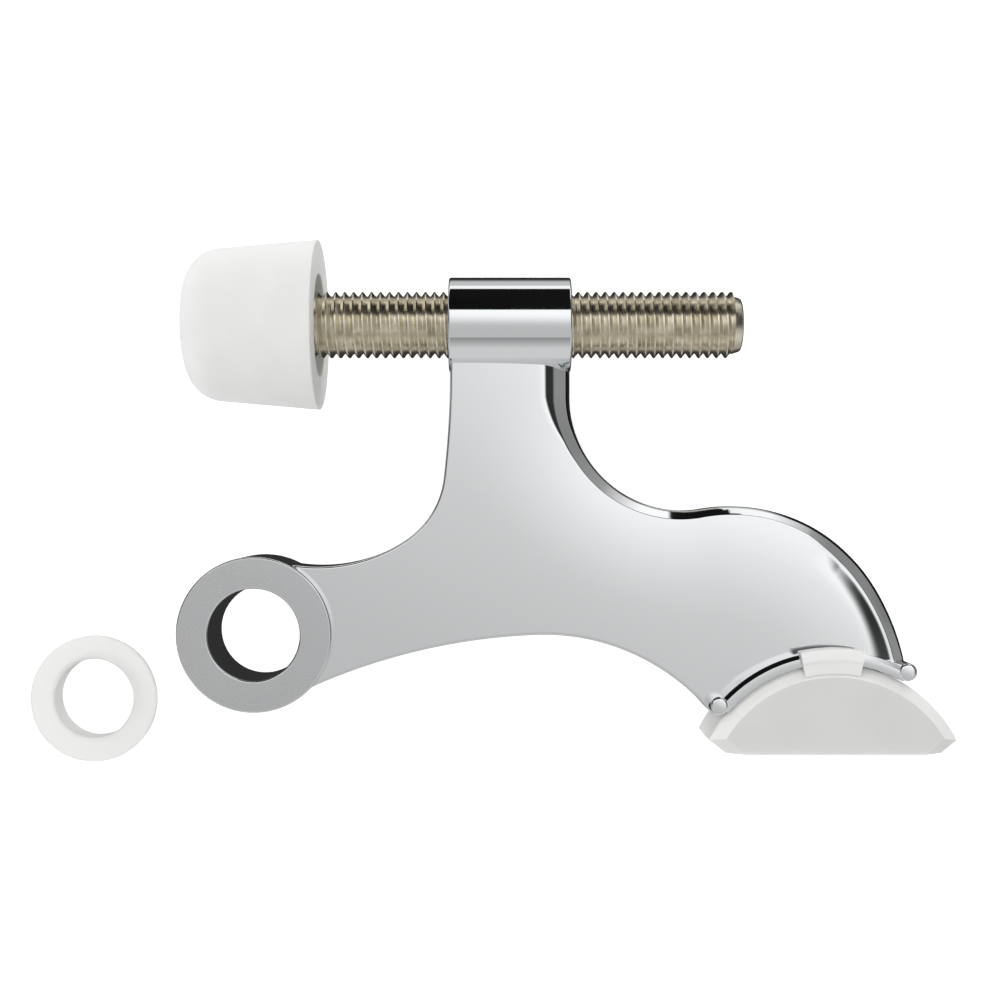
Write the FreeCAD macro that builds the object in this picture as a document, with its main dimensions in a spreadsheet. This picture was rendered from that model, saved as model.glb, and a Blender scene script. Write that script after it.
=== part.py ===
import FreeCAD, Part
import Sketcher
import math
import os

# Hinge-pin door stop, lying flat. +Z runs along the door's hinge pin, and the origin is at the
# centre of the bore that the pin goes through. +X points from the eye to the foot, and the
# adjusting screw runs along X on the +Y side. All lengths are in millimetres, angles in degrees.

doc = FreeCAD.newDocument("hinge_pin_door_stop")

SIZES = {
    # the eye that goes over the hinge pin
    "eye_radius": 9.0,
    "eye_bore_radius": 5.32,
    "eye_depth": 9.5,
    # the arm plate and its neck
    "arm_depth": 6.0,
    "neck_left": 22.6,
    "neck_right": 36.6,
    "neck_overlap": 2.0,
    "neck_bow_radius": 110.0,
    "neck_bow_centre_y": 31.0,
    "crook_radius": 10.0,
    "eye_blend_radius": 18.5,
    "eye_blend_centre_x": 7.2,
    "eye_blend_end_x": 3.0,
    "eye_blend_end_y": 8.28,
    "throat_radius": 13.2,
    "throat_centre_y": 27.5,
    "shoulder_radius": 19.9,
    "shoulder_centre_y": -5.1,
    "shoulder_end_x": 75.35,
    "arch_radius": 25.3,
    "arch_centre_x": 33.5,
    "arch_centre_y": -25.44,
    "arch_end_x": 52.7,
    "underside_radius": 71.0,
    "underside_centre_x": 35.31,
    "underside_end_x": 6.0,
    "soft_edge_radius": 2.4,
    "fine_edge_radius": 0.3,
    # the threaded boss across the top of the neck
    "boss_start": 22.4,
    "boss_length": 14.3,
    "boss_radius": 5.6,
    # the cradle under the foot, a rail with a bead at each end, about the shoe's rocking axis
    "rock_axis_x": 66.7,
    "rock_axis_y": -19.3,
    "rail_inner_radius": 16.1,
    "rail_outer_radius": 17.1,
    "rail_depth": 11.4,
    "bead_pitch_radius": 17.3,
    "bead_radius": 1.05,
    "left_bead_angle": 49.5,
    "right_bead_angle": 29.3,
    # the adjusting screw, 5/16-24 thread
    "screw_axis_y": 36.2,
    "screw_tip_x": 56.8,
    "screw_tip_length": 1.2,
    "screw_tip_radius": 3.12,
    "screw_neck_radius": 3.42,
    "thread_pitch": 1.0583,
    "thread_radius": 3.92,
    "thread_root_radius": 3.34,
    "thread_root_flat": 0.14,
    "thread_crest_flat": 0.16,
    "thread_start_x": 2.9,
    "thread_clearance": 0.08,
    "thread_axial_clearance": 0.05,
    "thread_overcut": 0.06,
    "boss_thread_phase": 16.5,
    "boss_thread_turns": 18,
    "head_radius": 6.2,
    "head_start_x": -1.5,
    "head_length": 2.0,
    # the rubber bumper on the screw's head
    "bumper_face_x": 7.1,
    "bumper_end_x": -8.8,
    "bumper_face_radius": 10.05,
    "bumper_end_radius": 8.7,
    "bumper_corner_radius": 4.3,
    "bumper_dome_rise": 0.5,
    "bumper_recess_radius": 6.0,
    "bumper_recess_depth": 4.5,
    "bumper_rim_radius": 0.5,
    "running_clearance": 0.05,
    # the nylon shoe
    "shoe_radius": 16.0,
    "shoe_depth": 12.4,
    "shoe_floor_y": -13.6,
    "shoe_corner_y": -12.1,
    "shoe_floor_left": 54.3,
    "shoe_floor_right": 79.2,
    "shoe_face_chamfer": 1.4,
    "tab_left_angle": 13.1,
    "tab_right_angle": 11.0,
    "tab_inner_radius": 15.0,
    "tab_outer_radius": 17.9,
    "tab_depth": 13.2,
    "tab_lip_depth": 8.8,
    "tab_clearance": 0.1,
    "tab_slot_margin_angle": 1.0,
    "tab_slot_margin": 1.0,
    # the loose nylon bushing for a 3/8 inch pin
    "bushing_x": -21.3,
    "bushing_y": -8.75,
    "bushing_bottom_z": -10.0,
    "bushing_bore_radius": 4.8,
    "bushing_barrel_radius": 5.25,
    "bushing_flange_radius": 7.75,
    "bushing_flange_thickness": 1.0,
    "bushing_length": 4.0,
    "bushing_entry_radius": 0.6,
    "bushing_edge_radius": 0.25,
    # how far the cuts that go right through a piece reach in all
    "through_cut": 60.0,
}

# The largest error, in millimetres, of an edge that is looked up by where it lies.
EDGE_TOLERANCE = 1e-4

# How much the flank of a thread moves along the screw for each millimetre of radius.
THREAD_FLANK = (
    "(Sizes.thread_pitch - Sizes.thread_root_flat - Sizes.thread_crest_flat)"
    " / 2 / (Sizes.thread_radius - Sizes.thread_root_radius)"
)

sheet = doc.addObject("Spreadsheet::Sheet", "Sizes")
for row, (name, value) in enumerate(SIZES.items(), start=1):
    sheet.set(f"A{row}", name)
    sheet.set(f"B{row}", str(value))
    sheet.setAlias(f"B{row}", name)
doc.recompute()


def new_body(name):
    """A body whose label is the node's name."""
    body = doc.addObject("PartDesign::Body", name)
    body.Label = name
    return body


def new_sketch(body, name, role, **offset):
    """A sketch on one of the body's own origin planes, moved along the plane's x, y or z."""
    sketch = body.newObject("Sketcher::SketchObject", name)
    plane = next(f for f in body.Origin.OriginFeatures if f.Role == role)
    sketch.AttachmentSupport = [(plane, "")]
    sketch.MapMode = "FlatFace"
    for direction, expression in offset.items():
        sketch.setExpression(f".AttachmentOffset.Base.{direction}", expression)
    return sketch


def size_of(expression):
    """The present value of an expression written with the sheet's cell names."""
    return float(sheet.evalExpression(expression.replace("Sizes.", "")))


def at(x, y):
    return FreeCAD.Vector(x, y, 0)


def bound(sketch, kind, *where, to):
    """A dimension of the sketch that follows an expression of the sheet."""
    index = sketch.addConstraint(Sketcher.Constraint(kind, *where, size_of(to)))
    sketch.setExpression(f"Constraints[{index}]", to)


def pin_point(sketch, edge, point, x=None, y=None):
    """Hold one point of an edge at distances from the sketch's origin."""
    if x is not None:
        bound(sketch, "DistanceX", -1, 1, edge, point, to=x)
    if y is not None:
        bound(sketch, "DistanceY", -1, 1, edge, point, to=y)


def chain(sketch, *joins):
    """Join the ends of edges, each given as (kind, edge, point, edge, point)."""
    for kind, *ends in joins:
        sketch.addConstraint(Sketcher.Constraint(kind, *ends))


def arc(centre, radius, start, end):
    """An arc that runs counter-clockwise from the bearing of start to that of end."""
    first = math.atan2(start.y - centre.y, start.x - centre.x)
    last = math.atan2(end.y - centre.y, end.x - centre.x)
    circle = Part.Circle(centre, FreeCAD.Vector(0, 0, 1), radius)
    return Part.ArcOfCircle(circle, first, last)


def on_circle(centre, radius, degrees):
    """The point of a circle at an angle from straight up, positive towards +X."""
    turn = math.radians(degrees)
    return centre + at(radius * math.sin(turn), radius * math.cos(turn))


def toward(start, end, distance):
    """The point at a distance from start on the way to end."""
    return start + (end - start).normalize() * distance


def meeting(first, reach_first, second, reach_second):
    """The lower right of the two points at these distances from two centres."""
    apart = (second - first).Length
    along = (reach_first**2 - reach_second**2 + apart**2) / (2 * apart)
    aside = math.sqrt(reach_first**2 - along**2)
    way = (second - first).normalize()
    return first + way * along + at(way.y, -way.x) * aside


def polygon(sketch, points):
    """Straight edges through points, each given as a pair of expressions."""
    corners = [at(size_of(x), size_of(y)) for x, y in points]
    count = len(points)
    first = sketch.GeometryCount
    for i in range(count):
        sketch.addGeometry(Part.LineSegment(corners[i], corners[(i + 1) % count]))
    for i in range(count):
        chain(sketch, ("Coincident", first + i, 2, first + (i + 1) % count, 1))
        pin_point(sketch, first + i, 1, *points[i])


def disc(sketch, radius, x="0", y="0"):
    """A circle with its centre and radius bound to expressions."""
    centre = at(size_of(x), size_of(y))
    upward = FreeCAD.Vector(0, 0, 1)
    edge = sketch.addGeometry(Part.Circle(centre, upward, size_of(radius)))
    bound(sketch, "Radius", edge, to=radius)
    pin_point(sketch, edge, 3, x, y)


def ring_sector(sketch, inner, outer, left, right):
    """A piece of a ring about the rocking axis, between two angles from straight up."""
    axis = at(size_of("Sizes.rock_axis_x"), size_of("Sizes.rock_axis_y"))
    radii = size_of(inner), size_of(outer)
    angles = -size_of(left), size_of(right)
    (low_left, low_right), (top_left, top_right) = (
        [on_circle(axis, radius, angle) for angle in angles] for radius in radii
    )
    sketch.addGeometry(arc(axis, radii[0], low_right, low_left))
    sketch.addGeometry(arc(axis, radii[1], top_right, top_left))
    sketch.addGeometry(Part.LineSegment(low_left, top_left))
    sketch.addGeometry(Part.LineSegment(low_right, top_right))
    chain(
        sketch,
        ("Coincident", 0, 2, 2, 1),
        ("Coincident", 2, 2, 1, 2),
        ("Coincident", 0, 1, 3, 1),
        ("Coincident", 3, 2, 1, 1),
        ("Coincident", 0, 3, 1, 3),
    )
    bound(sketch, "Radius", 0, to=inner)
    bound(sketch, "Radius", 1, to=outer)
    pin_point(sketch, 0, 3, "Sizes.rock_axis_x", "Sizes.rock_axis_y")
    for edge, radius in ((0, inner), (1, outer)):
        pin_point(sketch, edge, 1, f"Sizes.rock_axis_x + {radius} * sin({right})")
        pin_point(sketch, edge, 2, f"Sizes.rock_axis_x - {radius} * sin({left})")


def pad(body, name, sketch, length, symmetric=True):
    feature = body.newObject("PartDesign::Pad", name)
    feature.Profile = sketch
    feature.SideType = "Symmetric" if symmetric else "One side"
    feature.setExpression("Length", length)
    doc.recompute()
    return feature


def pocket(body, name, sketch, length):
    """A cut that reaches half of length to each side of its sketch."""
    before = body.Shape.Volume
    feature = body.newObject("PartDesign::Pocket", name)
    feature.Profile = sketch
    feature.SideType = "Symmetric"
    feature.setExpression("Length", length)
    doc.recompute()
    if body.Shape.Volume >= before:
        raise RuntimeError(f"{name} cuts nothing")
    return feature


def turned(body, name, sketch, axis):
    """A solid of revolution about one axis of its sketch."""
    feature = body.newObject("PartDesign::Revolution", name)
    feature.Profile = sketch
    feature.ReferenceAxis = (sketch, [axis])
    doc.recompute()
    return feature


def edges_where(feature, test):
    """The names of a feature's edges that pass a test."""
    return [f"Edge{i}" for i, edge in enumerate(feature.Shape.Edges, 1) if test(edge)]


def fillet(body, name, feature, test, radius):
    """Round the edges of the last feature that pass a test."""
    rounding = body.newObject("PartDesign::Fillet", name)
    rounding.Base = (feature, edges_where(feature, test))
    rounding.setExpression("Radius", radius)
    doc.recompute()
    return rounding


def is_circle(edge, radius, centre=None):
    """Whether an edge is an arc of this radius, and about this centre in X and Y if given."""
    if not isinstance(edge.Curve, Part.Circle):
        return False
    same_size = abs(edge.Curve.Radius - radius) < EDGE_TOLERANCE
    if centre is None or not same_size:
        return same_size
    away = edge.Curve.Center - centre
    return math.hypot(away.x, away.y) < EDGE_TOLERANCE


def thread_groove(body, name, points, turns):
    """A helical cut about the screw's axis, swept from a profile in the XY plane."""
    sketch = new_sketch(body, f"{name}_profile", "XY_Plane", y="Sizes.screw_axis_y")
    polygon(sketch, points)
    before = body.Shape.Volume
    groove = body.newObject("PartDesign::SubtractiveHelix", name)
    groove.Profile = sketch
    groove.ReferenceAxis = (sketch, ["H_Axis"])
    groove.Mode = "pitch-turns-angle"
    groove.setExpression("Pitch", "Sizes.thread_pitch")
    groove.setExpression("Turns", turns)
    doc.recompute()
    if body.Shape.Volume >= before:
        raise RuntimeError(f"{name} cuts nothing")
    return groove


# The casting: eye, arm, neck, threaded boss and cradle in one piece of plated zinc.


def arm_outline(sketch):
    """The arm's edge, seen along the hinge pin: arcs that run into each other."""
    neck_top = size_of("Sizes.screw_axis_y - Sizes.neck_overlap")
    bow_radius = SIZES["neck_bow_radius"]
    crook_radius = SIZES["crook_radius"]
    blend_radius = SIZES["eye_blend_radius"]
    bow = at(SIZES["neck_left"] - bow_radius, SIZES["neck_bow_centre_y"])
    blend_end = at(SIZES["eye_blend_end_x"], SIZES["eye_blend_end_y"])
    blend_across = SIZES["eye_blend_centre_x"] - blend_end.x
    blend = blend_end + at(blend_across, math.sqrt(blend_radius**2 - blend_across**2))
    crook = meeting(bow, bow_radius - crook_radius, blend, blend_radius - crook_radius)
    bow_rise = neck_top - bow.y
    neck_corner = bow + at(math.sqrt(bow_radius**2 - bow_rise**2), bow_rise)

    arch_radius = SIZES["arch_radius"]
    arch = at(SIZES["arch_centre_x"], SIZES["arch_centre_y"])
    arch_across = SIZES["arch_end_x"] - arch.x
    arch_end = arch + at(arch_across, math.sqrt(arch_radius**2 - arch_across**2))
    under_radius = SIZES["underside_radius"]
    under_across = SIZES["underside_centre_x"] - arch.x
    under_down = math.sqrt((under_radius - arch_radius) ** 2 - under_across**2)
    under = arch + at(under_across, -under_down)
    heel_across = SIZES["underside_end_x"] - under.x
    heel = under + at(heel_across, math.sqrt(under_radius**2 - heel_across**2))
    arch_join = toward(under, arch, under_radius)

    throat_radius = SIZES["throat_radius"]
    shoulder_radius = SIZES["shoulder_radius"]
    throat = at(SIZES["neck_right"] + throat_radius, SIZES["throat_centre_y"])
    drop = SIZES["shoulder_centre_y"] - throat.y
    across = math.sqrt((throat_radius + shoulder_radius) ** 2 - drop**2)
    shoulder = throat + at(across, drop)
    saddle = toward(throat, shoulder, throat_radius)
    toe_across = SIZES["shoulder_end_x"] - shoulder.x
    toe = shoulder + at(toe_across, math.sqrt(shoulder_radius**2 - toe_across**2))
    throat_top = throat - at(throat_radius, 0)
    neck_tip = at(SIZES["neck_right"], neck_top)

    rock = at(SIZES["rock_axis_x"], SIZES["rock_axis_y"])
    cradle_radius = SIZES["rail_inner_radius"]
    cradle_left = on_circle(rock, cradle_radius, -SIZES["left_bead_angle"])
    cradle_right = on_circle(rock, cradle_radius, SIZES["right_bead_angle"])

    bow_join = toward(bow, crook, bow_radius)
    blend_join = toward(blend, crook, blend_radius)
    for edge in (
        arc(bow, bow_radius, bow_join, neck_corner),
        arc(crook, crook_radius, blend_join, bow_join),
        arc(blend, blend_radius, blend_end, blend_join),
        Part.LineSegment(blend_end, heel),
        arc(under, under_radius, arch_join, heel),
        arc(arch, arch_radius, arch_end, arch_join),
        Part.LineSegment(arch_end, cradle_left),
        arc(rock, cradle_radius, cradle_right, cradle_left),
        Part.LineSegment(cradle_right, toe),
        arc(shoulder, shoulder_radius, toe, saddle),
        arc(throat, throat_radius, throat_top, saddle),
        Part.LineSegment(throat_top, neck_tip),
        Part.LineSegment(neck_tip, neck_corner),
    ):
        sketch.addGeometry(edge)
    chain(
        sketch,
        ("Tangent", 0, 1, 1, 2),
        ("Tangent", 1, 1, 2, 2),
        ("Coincident", 2, 1, 3, 1),
        ("Coincident", 3, 2, 4, 2),
        ("Tangent", 4, 1, 5, 2),
        ("Coincident", 5, 1, 6, 1),
        ("Coincident", 6, 2, 7, 2),
        ("Coincident", 7, 1, 8, 1),
        ("Coincident", 8, 2, 9, 1),
        ("Tangent", 9, 2, 10, 2),
        ("Tangent", 10, 1, 11, 1),
        ("Coincident", 11, 2, 12, 1),
        ("Coincident", 12, 2, 0, 2),
        ("Horizontal", 12),
        ("Vertical", 11),
    )
    for edge, radius in (
        (0, "neck_bow_radius"),
        (1, "crook_radius"),
        (2, "eye_blend_radius"),
        (4, "underside_radius"),
        (5, "arch_radius"),
        (7, "rail_inner_radius"),
        (9, "shoulder_radius"),
        (10, "throat_radius"),
    ):
        bound(sketch, "Radius", edge, to=f"Sizes.{radius}")
    pin_point(sketch, 0, 3, "Sizes.neck_left - Sizes.neck_bow_radius", "Sizes.neck_bow_centre_y")
    pin_point(sketch, 0, 2, y="Sizes.screw_axis_y - Sizes.neck_overlap")
    pin_point(sketch, 2, 3, x="Sizes.eye_blend_centre_x")
    pin_point(sketch, 2, 1, "Sizes.eye_blend_end_x", "Sizes.eye_blend_end_y")
    pin_point(sketch, 4, 3, x="Sizes.underside_centre_x")
    pin_point(sketch, 4, 2, x="Sizes.underside_end_x")
    pin_point(sketch, 5, 3, "Sizes.arch_centre_x", "Sizes.arch_centre_y")
    pin_point(sketch, 5, 1, x="Sizes.arch_end_x")
    pin_point(sketch, 7, 3, "Sizes.rock_axis_x", "Sizes.rock_axis_y")
    half = "Sizes.rail_inner_radius * sin(Sizes"
    pin_point(sketch, 7, 2, x=f"Sizes.rock_axis_x - {half}.left_bead_angle)")
    pin_point(sketch, 7, 1, x=f"Sizes.rock_axis_x + {half}.right_bead_angle)")
    pin_point(sketch, 9, 3, y="Sizes.shoulder_centre_y")
    pin_point(sketch, 9, 1, x="Sizes.shoulder_end_x")
    pin_point(sketch, 10, 3, y="Sizes.throat_centre_y")
    pin_point(sketch, 11, 2, x="Sizes.neck_right")
    return throat, shoulder


def make_cast_body():
    body = new_body("cast_body")
    outline = new_sketch(body, "arm_outline", "XY_Plane")
    throat, shoulder = arm_outline(outline)
    arm = pad(body, "arm", outline, "Sizes.arm_depth")

    def is_soft(edge):
        box = edge.BoundBox
        flat = box.ZLength < EDGE_TOLERANCE
        straight = box.XLength < EDGE_TOLERANCE
        on_neck = straight and abs(box.XMin - SIZES["neck_right"]) < EDGE_TOLERANCE
        in_throat = is_circle(edge, SIZES["throat_radius"], throat)
        on_shoulder = is_circle(edge, SIZES["shoulder_radius"], shoulder)
        return flat and (on_neck or in_throat or on_shoulder)

    fillet(body, "soft_edges", arm, is_soft, "Sizes.soft_edge_radius")

    eye = new_sketch(body, "eye_circle", "XY_Plane")
    disc(eye, "Sizes.eye_radius")
    pad(body, "eye", eye, "Sizes.eye_depth")
    boss = new_sketch(body, "boss_circle", "YZ_Plane", z="Sizes.boss_start")
    disc(boss, "Sizes.boss_radius", "Sizes.screw_axis_y")
    pad(body, "boss", boss, "Sizes.boss_length", symmetric=False)

    rail = new_sketch(body, "rail_section", "XY_Plane")
    ring_sector(
        rail,
        "Sizes.rail_inner_radius",
        "Sizes.rail_outer_radius",
        "Sizes.left_bead_angle",
        "Sizes.right_bead_angle",
    )
    pad(body, "rail", rail, "Sizes.rail_depth")
    beads = new_sketch(body, "bead_circles", "XY_Plane")
    for sign, angle in (("-", "left_bead_angle"), ("+", "right_bead_angle")):
        disc(
            beads,
            "Sizes.bead_radius",
            f"Sizes.rock_axis_x {sign} Sizes.bead_pitch_radius * sin(Sizes.{angle})",
            f"Sizes.rock_axis_y + Sizes.bead_pitch_radius * cos(Sizes.{angle})",
        )
    pad(body, "beads", beads, "Sizes.rail_depth")

    bore = new_sketch(body, "eye_bore_circle", "XY_Plane")
    disc(bore, "Sizes.eye_bore_radius")
    last = pocket(body, "eye_bore", bore, "Sizes.through_cut")

    def is_fine(edge):
        on_eye = is_circle(edge, SIZES["eye_radius"]) or is_circle(edge, SIZES["eye_bore_radius"])
        at_end = abs(abs(edge.CenterOfMass.z) - SIZES["eye_depth"] / 2) < EDGE_TOLERANCE
        return on_eye and at_end

    fillet(body, "eye_edges", last, is_fine, "Sizes.fine_edge_radius")

    hole = new_sketch(body, "boss_hole_circle", "YZ_Plane", z="Sizes.boss_start")
    disc(hole, "Sizes.thread_root_radius + Sizes.thread_clearance", "Sizes.screw_axis_y")
    pocket(body, "boss_hole", hole, "Sizes.through_cut")
    middle = "Sizes.thread_start_x + Sizes.boss_thread_phase * Sizes.thread_pitch"
    crest = "Sizes.thread_crest_flat / 2 + Sizes.thread_axial_clearance"
    outer = f"({crest} - {THREAD_FLANK} * Sizes.thread_clearance)"
    depth = "Sizes.thread_radius - Sizes.thread_root_radius - Sizes.thread_clearance"
    inner = f"({crest} + {THREAD_FLANK} * ({depth} + Sizes.thread_overcut))"
    low = "Sizes.thread_root_radius + Sizes.thread_clearance - Sizes.thread_overcut"
    high = "Sizes.thread_radius + Sizes.thread_clearance"
    points = [
        (f"{middle} - {inner}", low),
        (f"{middle} - {outer}", high),
        (f"{middle} + {outer}", high),
        (f"{middle} + {inner}", low),
    ]
    thread_groove(body, "boss_thread", points, "Sizes.boss_thread_turns")
    return body


# The adjusting screw: a threaded steel stud with a round head that turns inside the bumper.


def make_adjusting_screw():
    body = new_body("adjusting_screw")
    blank = new_sketch(body, "blank_profile", "XY_Plane", y="Sizes.screw_axis_y")
    shoulder = "Sizes.screw_tip_x - Sizes.screw_tip_length"
    polygon(
        blank,
        [
            ("Sizes.head_start_x", "0"),
            ("Sizes.head_start_x", "Sizes.head_radius"),
            ("Sizes.head_start_x + Sizes.head_length", "Sizes.head_radius"),
            ("Sizes.head_start_x + Sizes.head_length", "Sizes.thread_radius"),
            (shoulder, "Sizes.thread_radius"),
            (shoulder, "Sizes.screw_neck_radius"),
            ("Sizes.screw_tip_x", "Sizes.screw_tip_radius"),
            ("Sizes.screw_tip_x", "0"),
        ],
    )
    turned(body, "blank", blank, "H_Axis")
    start = "Sizes.thread_start_x"
    root = "Sizes.thread_root_flat / 2"
    land = "(Sizes.thread_pitch - Sizes.thread_crest_flat) / 2"
    mouth = f"{land} + {THREAD_FLANK} * Sizes.thread_overcut"
    points = [
        (f"{start} - {root}", "Sizes.thread_root_radius"),
        (f"{start} + {root}", "Sizes.thread_root_radius"),
        (f"{start} + {mouth}", "Sizes.thread_radius + Sizes.thread_overcut"),
        (f"{start} - ({mouth})", "Sizes.thread_radius + Sizes.thread_overcut"),
    ]
    turns = f"({shoulder} - {start}) / Sizes.thread_pitch"
    thread_groove(body, "thread", points, turns)
    return body


# The rubber bumper: a tapered cup with the screw's head held in a pocket inside it.


def make_bumper():
    body = new_body("bumper")
    profile = new_sketch(body, "bumper_profile", "XY_Plane", y="Sizes.screw_axis_y")
    lip_x = "Sizes.head_start_x + Sizes.head_length + Sizes.running_clearance"
    pocket_x = "Sizes.head_start_x - Sizes.running_clearance"
    pocket_radius = "Sizes.head_radius + Sizes.running_clearance"
    hole_radius = "Sizes.thread_radius + Sizes.running_clearance"
    floor_x = "Sizes.bumper_face_x - Sizes.bumper_recess_depth"
    points = [
        ("Sizes.bumper_end_x + Sizes.bumper_dome_rise", "Sizes.bumper_end_radius"),
        ("Sizes.bumper_face_x", "Sizes.bumper_face_radius"),
        ("Sizes.bumper_face_x", "Sizes.bumper_recess_radius"),
        (floor_x, "Sizes.bumper_recess_radius"),
        (floor_x, hole_radius),
        (lip_x, hole_radius),
        (lip_x, pocket_radius),
        (pocket_x, pocket_radius),
        (pocket_x, "0"),
        ("Sizes.bumper_end_x", "0"),
    ]
    corners = [at(size_of(x), size_of(y)) for x, y in points]
    for start, end in zip(corners, corners[1:]):
        profile.addGeometry(Part.LineSegment(start, end))
    reach = SIZES["bumper_end_radius"]
    rise = SIZES["bumper_dome_rise"]
    dome_radius = (reach**2 + rise**2) / (2 * rise)
    centre = corners[-1] + at(dome_radius, 0)
    dome = profile.addGeometry(arc(centre, dome_radius, corners[0], corners[-1]))
    for edge in range(dome - 1):
        chain(profile, ("Coincident", edge, 2, edge + 1, 1))
    chain(profile, ("Coincident", dome - 1, 2, dome, 2), ("Coincident", dome, 1, 0, 1))
    for edge in range(dome):
        pin_point(profile, edge, 1, *points[edge])
    pin_point(profile, dome, 2, *points[-1])
    pin_point(profile, dome, 3, y="0")
    cup = turned(body, "cup", profile, "H_Axis")

    def at_station(x, radius):
        def test(edge):
            box = edge.BoundBox
            on_station = abs(box.XMin - x) < EDGE_TOLERANCE and box.XLength < EDGE_TOLERANCE
            return on_station and is_circle(edge, radius)

        return test

    corner_x = SIZES["bumper_end_x"] + rise
    last = fillet(body, "corner", cup, at_station(corner_x, reach), "Sizes.bumper_corner_radius")
    rim = at_station(SIZES["bumper_face_x"], SIZES["bumper_face_radius"])
    last = fillet(body, "rim", last, rim, "Sizes.bumper_rim_radius")
    mouth = at_station(SIZES["bumper_face_x"], SIZES["bumper_recess_radius"])
    fillet(body, "mouth", last, mouth, "Sizes.bumper_rim_radius")
    return body


# The nylon shoe: a D-shaped pad that rocks in the cradle, clipped over the rail front and back.


def make_shoe():
    body = new_body("shoe")
    outline = new_sketch(body, "shoe_outline", "XY_Plane")
    rock = at(SIZES["rock_axis_x"], SIZES["rock_axis_y"])
    radius = SIZES["shoe_radius"]
    rise = SIZES["shoe_corner_y"] - rock.y
    reach = math.sqrt(radius**2 - rise**2)
    left, right = rock + at(-reach, rise), rock + at(reach, rise)
    floor_left = at(SIZES["shoe_floor_left"], SIZES["shoe_floor_y"])
    floor_right = at(SIZES["shoe_floor_right"], SIZES["shoe_floor_y"])
    outline.addGeometry(arc(rock, radius, right, left))
    outline.addGeometry(Part.LineSegment(left, floor_left))
    outline.addGeometry(Part.LineSegment(floor_left, floor_right))
    outline.addGeometry(Part.LineSegment(floor_right, right))
    chain(
        outline,
        ("Coincident", 0, 2, 1, 1),
        ("Coincident", 1, 2, 2, 1),
        ("Coincident", 2, 2, 3, 1),
        ("Coincident", 3, 2, 0, 1),
    )
    bound(outline, "Radius", 0, to="Sizes.shoe_radius")
    pin_point(outline, 0, 3, "Sizes.rock_axis_x", "Sizes.rock_axis_y")
    pin_point(outline, 0, 1, y="Sizes.shoe_corner_y")
    pin_point(outline, 0, 2, y="Sizes.shoe_corner_y")
    pin_point(outline, 2, 1, "Sizes.shoe_floor_left", "Sizes.shoe_floor_y")
    pin_point(outline, 2, 2, "Sizes.shoe_floor_right", "Sizes.shoe_floor_y")
    block = pad(body, "block", outline, "Sizes.shoe_depth")

    def is_face_edge(edge):
        on_floor = edge.CenterOfMass.y < SIZES["shoe_floor_y"] + EDGE_TOLERANCE
        return edge.BoundBox.ZLength < EDGE_TOLERANCE and not on_floor

    chamfer = body.newObject("PartDesign::Chamfer", "face_chamfer")
    chamfer.Base = (block, edges_where(block, is_face_edge))
    chamfer.setExpression("Size", "Sizes.shoe_face_chamfer")
    doc.recompute()

    sides = "Sizes.tab_left_angle", "Sizes.tab_right_angle"
    tab = new_sketch(body, "tab_section", "XY_Plane")
    ring_sector(tab, "Sizes.tab_inner_radius", "Sizes.tab_outer_radius", *sides)
    pad(body, "tab", tab, "Sizes.tab_depth")
    slot_sides = [f"({side} + Sizes.tab_slot_margin_angle)" for side in sides]
    slot = new_sketch(body, "rail_slot_section", "XY_Plane")
    slot_outer = "(Sizes.rail_outer_radius + Sizes.tab_clearance)"
    ring_sector(slot, "Sizes.shoe_radius", slot_outer, *slot_sides)
    pocket(body, "rail_slot", slot, "Sizes.rail_depth + 2 * Sizes.tab_clearance")
    gap = new_sketch(body, "lip_gap_section", "XY_Plane")
    gap_outer = "(Sizes.tab_outer_radius + Sizes.tab_slot_margin)"
    ring_sector(gap, "Sizes.shoe_radius", gap_outer, *slot_sides)
    pocket(body, "lip_gap", gap, "Sizes.tab_lip_depth")
    return body


# The loose nylon bushing that packs the eye's bore down to a thinner hinge pin.


def make_hinge_pin_bushing():
    body = new_body("hinge_pin_bushing")
    offset = {"x": "Sizes.bushing_x", "z": "-Sizes.bushing_y"}
    profile = new_sketch(body, "bushing_profile", "XZ_Plane", **offset)
    bottom = "Sizes.bushing_bottom_z"
    top = "Sizes.bushing_bottom_z + Sizes.bushing_length"
    flange = f"{top} - Sizes.bushing_flange_thickness"
    polygon(
        profile,
        [
            ("Sizes.bushing_bore_radius", bottom),
            ("Sizes.bushing_barrel_radius", bottom),
            ("Sizes.bushing_barrel_radius", flange),
            ("Sizes.bushing_flange_radius", flange),
            ("Sizes.bushing_flange_radius", top),
            ("Sizes.bushing_bore_radius", top),
        ],
    )
    sleeve = turned(body, "sleeve", profile, "V_Axis")
    level = SIZES["bushing_bottom_z"] + SIZES["bushing_length"]

    def is_entry(edge):
        box = edge.BoundBox
        on_top = abs(box.ZMax - level) < EDGE_TOLERANCE and box.ZLength < EDGE_TOLERANCE
        return on_top and is_circle(edge, SIZES["bushing_bore_radius"])

    def is_flange(edge):
        return is_circle(edge, SIZES["bushing_flange_radius"])

    last = fillet(body, "entry", sleeve, is_entry, "Sizes.bushing_entry_radius")
    fillet(body, "flange_edges", last, is_flange, "Sizes.bushing_edge_radius")
    return body


nodes = [
    make_cast_body(),
    make_adjusting_screw(),
    make_bumper(),
    make_shoe(),
    make_hinge_pin_bushing(),
]

doc.recompute()
for thing in doc.Objects:
    faults = [state for state in thing.State if state in ("Invalid", "Error")]
    if faults:
        raise RuntimeError(f"{thing.Name} is {faults}")
for node in nodes:
    if node.Shape.isNull() or not node.Shape.isValid():
        raise RuntimeError(f"{node.Label} has no valid shape")

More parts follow.
